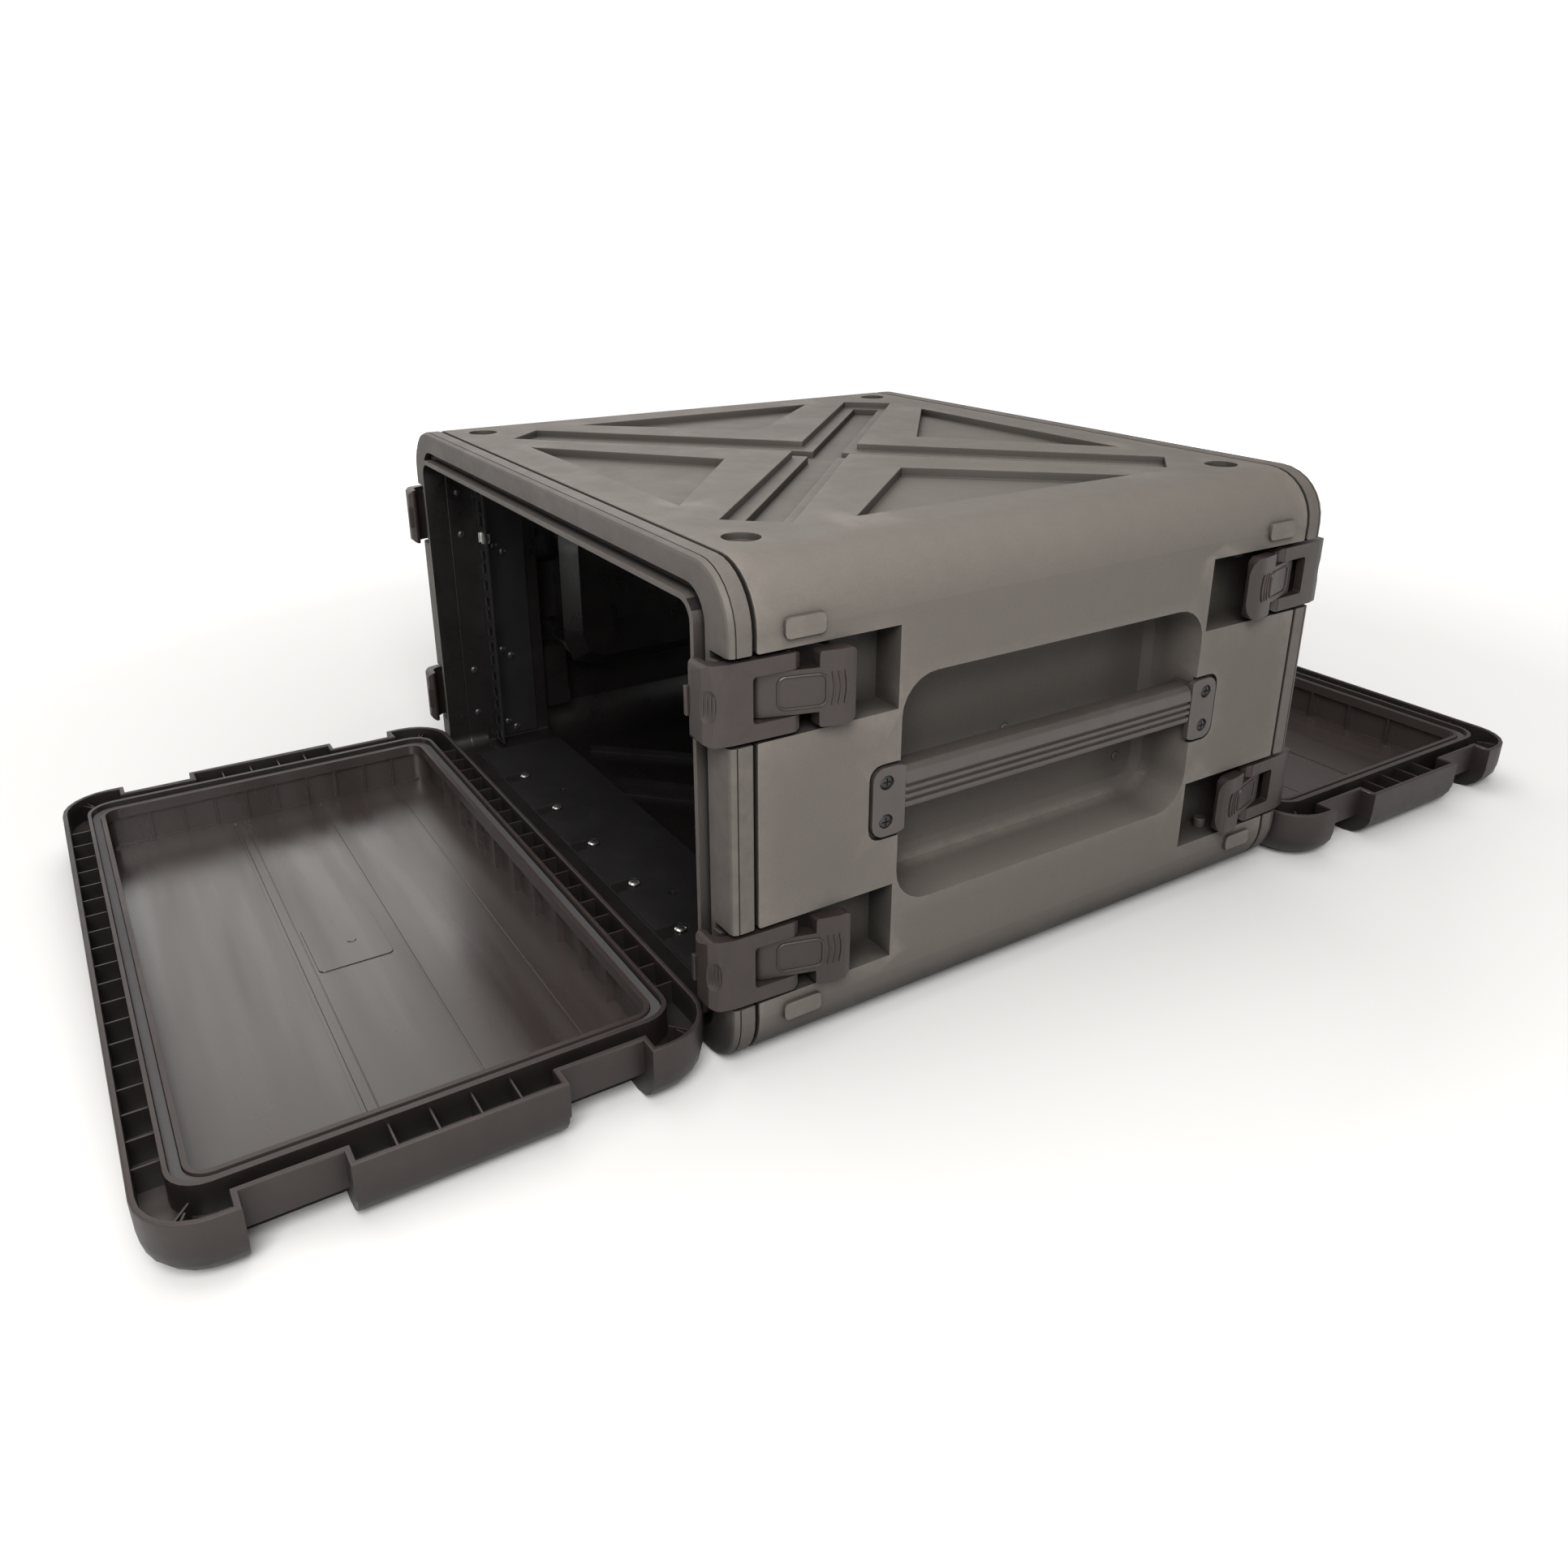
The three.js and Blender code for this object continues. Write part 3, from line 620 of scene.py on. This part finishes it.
def narrower_plate(bm):
    """Draws the plate's rim in, which leaves a dark line round it in its seat."""
    for vert in bm.verts:
        _, y, z = vert.co / MM
        if abs(y) > PLATE_Y[0] and abs(z - PLATE_Z) > PLATE_EDGE:
            vert.co.z -= math.copysign(PLATE_GAP * MM, z - PLATE_Z)
        if abs(y) > PLATE_Y[1]:
            vert.co.y -= math.copysign(PLATE_GAP * MM, y)
    return bm


screw_mesh = to_mesh(cross_screw(), "cross_screw")
for side_name, side in SIDES:
    refine("handle_grip_" + side_name, ((0.9, None),), segments=3)
    for end_name, end in ENDS:
        refine(f"handle_bracket_{side_name}_{end_name}", ((0.8, None),), change=narrower_plate)
        for row in ("top", "bottom"):
            name = f"handle_screw_{side_name}_{end_name}_{row}"
            base_x = side * (max(abs(x) for x in span_of(name, "x")) - SCREW_HEIGHT)
            mesh = mirrored(screw_mesh, name, side, 1)
            place = Vector((base_x, middle_of(name, "y"), middle_of(name, "z")))
            mesh.transform(Matrix.Translation(place * MM))
            replace_node(name, mesh)


RECESS_BACK = SIDE_X - 45
RECESS_BOSSES = ((-7.7, 164.6), (108.1, 115.9))  # y and z
for side_name, side in SIDES:
    bm = bmesh.new()
    for y, z in RECESS_BOSSES:
        lathe(BOSS_PROFILE, (RECESS_BACK * side, y, z), (side, 0, 0), bm)
    add("recess_bosses_" + side_name, to_mesh(bm, "recess_bosses"), "shell_plastic", "case")


# ---- Latches ----
LATCH_SPAN = (250, 300)  # x on both sides of a right-hand latch
BEND_X = 287
BEND_Y = -199
GRIP_RIBS = (-190, -186.2, -182.4)  # y of the ribs across the lever's end
WINDOW_Y = -239
WINDOW_HALF = 14
SCOOP = (278.9, -266.4)  # x and y of the thumb hollow's middle at the hook's nose
SCOOP_RADII = (4.2, 8.0, 13.0)
BOSS_PLACE = (266, -180, 26.4)  # the pocket's boss on a latch with its middle at z = 0
KEEPER = [(259.5, -254.6), (266.2, -254.6), (267.4, -252.8), (267.4, -249.4), (259.5, -249.4)]
KEEPER_HALF = 22


def tongue(start, end, half, radius, bulge):
    """Outline of a strip from start, with a bulging end and two rounded corners there."""
    sign = 1 if end > start else -1
    arc = []
    for i in range(ARC_STEPS):
        angle = math.radians(90 * i / ARC_STEPS)
        arc.append((end - sign * radius * (1 - math.sin(angle)), half - radius * (1 - math.cos(angle))))
    for i in range(ARC_STEPS + 1):
        arc.append((end, (half - radius) * (1 - i / ARC_STEPS)))
    arc = [(u - sign * bulge * (v / half) ** 2, v) for u, v in arc]
    mirror = [(u, -v) for u, v in arc[:-1]]
    return [(start, half)] + arc + mirror[::-1] + [(start, -half)]


def centred_copy(name):
    """Copy of an upper latch piece, lowered so that its middle is at z = 0."""
    bm = cad_copy(name)
    bmesh.ops.translate(bm, verts=bm.verts, vec=(0, 0, -(MID_Z + LATCH_OFFSET) * MM))
    return bm


def lever_face(y):
    """x of the lever's outer face on the front right latch, which slopes less past its bend."""
    if y < BEND_Y:
        return BEND_X + 7 * (y - BEND_Y) / 25
    return BEND_X + 3.5 * (y - BEND_Y) / 15


def latch_lever():
    """The front right upper latch's lever about z = 0, with its inlay line and grip ribs."""
    outline = prism(tongue(-260, -171.3, 23.4, 6, 3.0), *LATCH_SPAN, "x")
    bm = combined(centred_copy("lever_front_right_upper"), outline, "INTERSECT")

    def at_shoulder(middle, along):
        return along.x > 0.8 and abs(middle.y + 198) < 1 and abs(middle.z) > 22

    round_edges(bm, 3.6, at_shoulder, segments=4)
    round_edges(bm, 1.1, lambda middle, along: abs(middle.z) > 12 or middle.x > 279, segments=3)
    ring = [(lever_face(y) + 0.25, y, z) for y, z in rounded(-208, 0, 14, 9.6, 4.5)]
    bead(ring, 0.75, bm, closed=True)
    for y in GRIP_RIBS:
        steps = [-10 + 2.5 * i for i in range(9)]
        bead([(lever_face(y) + 0.2, y + 1.6 * (1 - (z / 10) ** 2) - 0.8, z) for z in steps], 0.75, bm)
    return to_mesh(bm, "lever")


def latch_hook():
    """The front right upper latch's hook about z = 0, with its thumb hollow, ribs and tab."""
    outline = prism(rounded(-237.4, 0, 31.8, 24.2, 7), *LATCH_SPAN, "x")
    bm = combined(centred_copy("hook_front_right_upper"), outline, "INTERSECT")

    def on_window(middle, along):
        corner = abs(middle.y - WINDOW_Y) < 1 and abs(abs(middle.z) - WINDOW_HALF) < 1
        return along.x > 0.8 and corner

    round_edges(bm, 2.4, on_window, segments=4)
    round_edges(bm, 1.3, lambda middle, along: abs(middle.z) > WINDOW_HALF - 1, segments=3)
    slope = Matrix.Rotation(math.radians(-45), 4, "Z")
    scoop = bmesh.new()
    bmesh.ops.create_uvsphere(scoop, u_segments=32, v_segments=16, radius=1.0)
    scoop.transform(Matrix.Diagonal((*(Vector(SCOOP_RADII) * MM), 1)))
    scoop.transform(Matrix.Translation(Vector((*SCOOP, 0)) * MM) @ slope)
    bm = combined(bm, scoop)
    for across in (-3.3, -1.1, 1.1, 3.3):
        depth = (0.1 - SCOOP_RADII[0]) * math.sqrt(1 - (across / SCOOP_RADII[1]) ** 2)
        place = slope @ Vector((depth, across, 0))
        reach = 9.2 * math.sqrt(1 - (across / 6.5) ** 2)
        rib_x, rib_y = SCOOP[0] + place.x, SCOOP[1] + place.y
        bead([(rib_x, rib_y, -reach + reach * i / 3) for i in range(7)], 0.7, bm)
    tab = block((259.4, 262.6), (-270.2, -266), (-9, 9))
    round_edges(tab, 0.5)
    spare = to_mesh(tab, "tab")
    bm.from_mesh(spare)
    bpy.data.meshes.remove(spare)
    return to_mesh(bm, "hook")


lever_mesh = latch_lever()
hook_mesh = latch_hook()
boss_mesh = to_mesh(lathe([(0, 5), (6.4, 5), (7.2, 4.2)], BOSS_PLACE, (0, 0, -1)), "boss")
keeper_bm = prism(KEEPER, -KEEPER_HALF, KEEPER_HALF, "z")
round_edges(keeper_bm, 0.6)
keeper_mesh = to_mesh(keeper_bm, "keeper")
for end_name, end in ENDS:
    for side_name, side in SIDES:
        for level_name, level in LEVELS:
            place = f"{end_name}_{side_name}_{level_name}"
            lift = MID_Z + level * LATCH_OFFSET
            replace_node("lever_" + place, mirrored(lever_mesh, "lever_" + place, side, end, lift))
            replace_node("hook_" + place, mirrored(hook_mesh, "hook_" + place, side, end, lift))
            boss = boss_mesh.copy()
            boss.transform(Matrix.Diagonal((side, end, level, 1)))
            if side * end * level < 0:
                boss.flip_normals()
            boss.transform(Matrix.Translation((0, 0, lift * MM)))
            add("pocket_boss_" + place, boss, "shell_plastic", "case")
            keeper = mirrored(keeper_mesh, "latch_keeper_" + place, side, end, lift)
            add("latch_keeper_" + place, keeper, "frame_plastic", "case")


# ---- Lids ----
LID_FLOOR = 4.5
CHANNEL_FLOOR = 24.0
CAVITY_HALF = (246, 138)  # half sizes of the room inside the walls, in x and y
RIB_HALF = 0.6  # half the thickness of a rib or fin
RIB_TOP = 39.6
CORNER_RIB_TOP = 38.0
FIN_TOP = 32.2
FLOOR_LINES = ((-456.5, 1.4, 1.0), (-448.4, 0.35, 0.4), (-384.0, 0.7, 0.7), (-318.0, 0.5, 0.5))
CORNER_RIBS = (((257.5, 134.8), (270.6, 145.4)), ((263.5, 137.2), (272.5, 141.7)))  # both ends of each


def lid_lines(bm):
    """Moulding lines across the front lid's floor, cut as shallow grooves."""
    for y, half, depth in FLOOR_LINES:
        bm = combined(bm, block((-238, 238), (y - half, y + half), (LID_FLOOR - depth, LID_FLOOR + 2)))
    return bm


def thin_wall(along_x, along_y, top, floor, bm):
    """A rib or fin; the direction given as one number is the one it is thin in."""
    spans = [
        (place - RIB_HALF, place + RIB_HALF) if isinstance(place, float) else sorted(place)
        for place in (along_x, along_y)
    ]
    block(*spans, (floor, top), bm)


def lid_ribs():
    """Ribs in the lid's outer channel, with its middle at y = 0."""
    bm = bmesh.new()
    floor = CHANNEL_FLOOR - 0.3
    for sign in (1, -1):
        for k in range(-9, 10):
            thin_wall(3.3 + 24 * k, (sign * 142.8, sign * 156.9), RIB_TOP, floor, bm)
        for y in (-34.6, -11.6, 11.9, 34.7):
            thin_wall((sign * 254.3, sign * 277.9), y, RIB_TOP, floor, bm)
        for y_sign in (1, -1):
            for start, end in CORNER_RIBS:
                a = Vector((sign * start[0], y_sign * start[1], 0))
                b = Vector((sign * end[0], y_sign * end[1], 0))
                side = (b - a).normalized().cross(Vector((0, 0, 1))) * RIB_HALF
                corners = [(p.x, p.y) for p in (a - side, b - side, b + side, a + side)]
                prism(corners, floor, CORNER_RIB_TOP, "z", bm)
    return bm


def lid_fins():
    """Fins and ledges under the overhanging lip inside the lid, with its middle at y = 0."""
    bm = bmesh.new()
    floor = LID_FLOOR - 0.2
    for sign in (1, -1):
        for k in range(-4, 5):
            thin_wall((sign * 241.2, sign * 245.2), 25.3 * k + 3, FIN_TOP, floor, bm)
            thin_wall(43.0 * k, (sign * 131.0, sign * 136.9), FIN_TOP, floor, bm)
        block(sorted((sign * 242.6, sign * 245.2)), (-128, 128), (floor, 6.6), bm)
    return bm


def lid_plate():
    """Low raised plate in the middle of the floor, with the moulding gate's dot."""
    bm = prism(rounded(2, 1, 33, 26, 4), LID_FLOOR - 0.3, LID_FLOOR + 0.7, "z")
    round_edges(bm, 0.25)
    lathe([(0, 3.4), (0.5, 3.4), (0.8, 2.6)], (3.6, 4.4, LID_FLOOR + 0.5), (0, 0, 1), bm)
    return bm


def in_cavity(shift):
    """Test for the faces inside a lid whose middle is at x = shift."""
    def inside(middle, normal):
        offset = (abs(middle.x - shift), abs(abs(middle.y) - LID_MID))
        within = offset[0] < CAVITY_HALF[0] and offset[1] < CAVITY_HALF[1]
        return within and LID_FLOOR - 1.2 < middle.z < 40.5
    return inside


def on_lid_rim(middle, along):
    """Edges of the lid's outer rim, its blocks and its notches."""
    return middle.z > 39 and (abs(middle.x) > 262 or abs(abs(middle.y) - LID_MID) > 150)


front_lid = refine("front_lid", (
    (1.4, on_lid_rim),
    (0.5, lambda middle, along: not on_lid_rim(middle, along)),
), change=lid_lines)
# The loose lids need not lie in line with the case.
lid_x = {end_name: middle_of(end_name + "_lid", "x") for end_name, end in ENDS}
paint(front_lid, "lid_cavity", in_cavity(lid_x["front"]))
rear_mesh = mirrored(front_lid.data, "rear_lid_detail", 1, -1)
rear_mesh.transform(Matrix.Translation(((lid_x["rear"] - lid_x["front"]) * MM, 0, 0)))
rear_lid = replace_node("rear_lid", rear_mesh)
paint(rear_lid, "lid_cavity", in_cavity(lid_x["rear"]))
extras = (
    ("channel_ribs", lid_ribs, "lid_plastic"),
    ("cavity_fins", lid_fins, "lid_cavity"),
    ("floor_plate", lid_plate, "lid_cavity"),
)
for label, build, finish in extras:
    shared = to_mesh(build(), label)
    for end_name, end in ENDS:
        mesh = mirrored(shared, f"{end_name}_lid_{label}", 1, end)
        mesh.transform(Matrix.Translation(Vector((lid_x[end_name], -end * LID_MID, 0)) * MM))
        piece = add(f"{end_name}_lid_{label}", mesh, "lid_plastic", end_name + "_lid_body")
        piece.data.materials[0] = MATERIALS[finish]
    bpy.data.meshes.remove(shared)
for end_name, end in ENDS:
    refine(end_name + "_lid_gasket", ((0.5, None),))


# ---- Fasteners and floor plate inside the openings ----
FIXINGS = (-150, -75, 0, 75, 150)  # x of the floor's fixings
NOTCH_RADIUS = 7
NOTCH_Y = -222
FLOOR_PLATE_X = 219
FLOOR_PLATE_Y = (-238, -161)
FLOOR_PLATE_HOLES = (-104, 104)


def small_screw(centre, axis, bm, radius=3.4):
    profile = [(-1.5, 1.6), (-0.01, 1.6), (0, radius), (0.9, radius)]
    profile += [(1.6, radius * 0.75), (1.9, radius * 0.3)]
    lathe(profile, centre, axis, bm, 16)


def opening_screws():
    """Screws through the rail flanges and the sleeve walls of the front opening."""
    bm = bmesh.new()
    for side in (1, -1):
        for z in (39.5, 113, 214.5, 285):
            small_screw((side * 243.7, -201, z + 3.5), (-side, 0, 0), bm)
            small_screw((side * 243.7, -193, z - 3.5), (-side, 0, 0), bm)
        for z in (58, 101, 231.5, 270):
            small_screw((side * 246.0, -229, z), (-side, 0, 0), bm)
    return bm


def floor_screws():
    bm = bmesh.new()
    for x in FIXINGS:
        small_screw((x, -221.5, BAY_FLOOR + 0.9), (0, 0, 1), bm, 4.2)
    return bm


def opening_plate():
    """Flat plate on the sleeve's floor, notched round its fixings."""
    near, far = FLOOR_PLATE_Y
    reach = FLOOR_PLATE_X
    outline = [(-reach, near), (-reach, far), (reach, far), (reach, near)]
    for x in reversed(FIXINGS):
        outline.append((x + NOTCH_RADIUS, near))
        for degrees in range(0, 181, 20):
            angle = math.radians(degrees)
            outline.append((x + NOTCH_RADIUS * math.cos(angle), NOTCH_Y + NOTCH_RADIUS * math.sin(angle)))
        outline.append((x - NOTCH_RADIUS, near))
    bm = prism(outline, BAY_FLOOR - 0.2, BAY_FLOOR + 1.6, "z")
    for x in FLOOR_PLATE_HOLES:
        bm = combined(bm, prism(circle(x, -204, 3), BAY_FLOOR - 3, BAY_FLOOR + 4, "z"))
    round_edges(bm, 0.3, angle=50)
    return bm


interior = (
    ("opening_screws", opening_screws, "black_steel"),
    ("floor_screws", floor_screws, "bright_steel"),
    ("opening_floor_plate", opening_plate, "rail_steel"),
)
for label, build, slot in interior:
    shared = to_mesh(build(), label)
    for end_name, end in ENDS:
        add(f"{end_name}_{label}", mirrored(shared, f"{end_name}_{label}", 1, end), slot, "case")
    bpy.data.meshes.remove(shared)


# ---- Stage ----
# The floor brightens outwards, and the sky downwards, to an even white ground.
FLOOR_RADIUS = 2.2
NEAR_TONE = (0.42, 0.42, 0.42)
FAR_TONE = (0.96, 0.96, 0.96)
HORIZON_COLOUR = (1.04, 1.03, 1.015)
SKY_COLOUR = (0.26, 0.256, 0.25)
LAMP_COLOUR = (1.0, 0.985, 0.965)
floor_material = bpy.data.materials.new("studio_floor")
floor_material.use_nodes = True
floor_tree = floor_material.node_tree
floor_shader = floor_tree.nodes["Principled BSDF"]
floor_shader.inputs["Specular IOR Level"].default_value = 0.1
floor_coords = node(floor_tree, "ShaderNodeTexCoord").outputs["Object"]
floor_noise = noise(floor_tree, floor_coords, 3.0)
away = node(floor_tree, "ShaderNodeVectorMath", operation="LENGTH")
floor_tree.links.new(floor_coords, away.inputs[0])
outwards = ranged(floor_tree, away.outputs["Value"], 0.5, 2.0, 0.0, 1.0)
floor_tree.links.new(mixed(floor_tree, outwards, NEAR_TONE, FAR_TONE), floor_shader.inputs["Base Color"])
floor_tree.links.new(ranged(floor_tree, floor_noise, 0.2, 0.8, 0.75, 0.9), floor_shader.inputs["Roughness"])
floor_shader.inputs["Emission Color"].default_value = (1.0, 0.99, 0.98, 1.0)
floor_tree.links.new(
    ranged(floor_tree, away.outputs["Value"], 0.9, 2.1, 0.0, 0.45),
    floor_shader.inputs["Emission Strength"],
)
bm = bmesh.new()
bmesh.ops.create_circle(bm, cap_ends=True, segments=96, radius=FLOOR_RADIUS)
floor = bpy.data.objects.new("floor", to_mesh(bm, "floor"))
floor.data.materials.append(floor_material)
bpy.context.scene.collection.objects.link(floor)

world = bpy.data.worlds.new("studio")
world.use_nodes = True
sky = world.node_tree
direction = node(sky, "ShaderNodeSeparateXYZ")
sky.links.new(node(sky, "ShaderNodeTexCoord").outputs["Generated"], direction.inputs[0])
height = ranged(sky, direction.outputs["Z"], 0.16, 0.34, 0.0, 1.0)
sky.links.new(mixed(sky, height, HORIZON_COLOUR, SKY_COLOUR), sky.nodes["Background"].inputs["Color"])
bpy.context.scene.world = world
bpy.context.scene.view_settings.view_transform = "Standard"


def lamp(name, place, aim, size, power):
    """A soft rectangular lamp turned towards a point; places and sizes in metres."""
    data = bpy.data.lights.new(name, "AREA")
    data.shape = "RECTANGLE"
    data.size, data.size_y = size
    data.energy = power
    data.color = LAMP_COLOUR
    made = bpy.data.objects.new(name, data)
    made.location = place
    made.rotation_euler = (Vector(aim) - Vector(place)).to_track_quat("-Z", "Y").to_euler()
    bpy.context.scene.collection.objects.link(made)


lamp("top_softbox", (-0.15, -0.1, 2.1), (0.0, 0.0, 0.1), (2.4, 2.0), 50.0)
lamp("side_softbox", (1.35, -0.85, 1.4), (0.1, -0.05, 0.15), (1.0, 0.9), 70.0)
lamp("rear_softbox", (-2.3, 0.1, 1.4), (0.0, -0.3, 0.0), (3.0, 1.2), 19.0)

# ---- Camera ----
AZIMUTH, ELEVATION, ROLL = (math.radians(a) for a in (58.09, 20.94, -0.12))
back = Vector((
    math.sin(AZIMUTH) * math.cos(ELEVATION),
    -math.cos(AZIMUTH) * math.cos(ELEVATION),
    math.sin(ELEVATION),
))
right = Vector((math.cos(AZIMUTH), math.sin(AZIMUTH), 0.0))
up = back.cross(right)
tilted_right = right * math.cos(ROLL) + up * math.sin(ROLL)
tilted_up = up * math.cos(ROLL) - right * math.sin(ROLL)
camera_data = bpy.data.cameras.new("camera")
camera_data.sensor_width = 36.0
camera_data.lens = 27.85
camera_data.shift_x = 0.00708
camera_data.shift_y = -0.0632
camera_data.clip_start = 0.01
camera = bpy.data.objects.new("camera", camera_data)
camera.matrix_world = Matrix.LocRotScale(
    Vector((0.8148, -0.5577, 0.4962)),
    Matrix((tilted_right, tilted_up, back)).transposed().to_quaternion(),
    None,
)
bpy.context.scene.collection.objects.link(camera)
bpy.context.scene.camera = camera
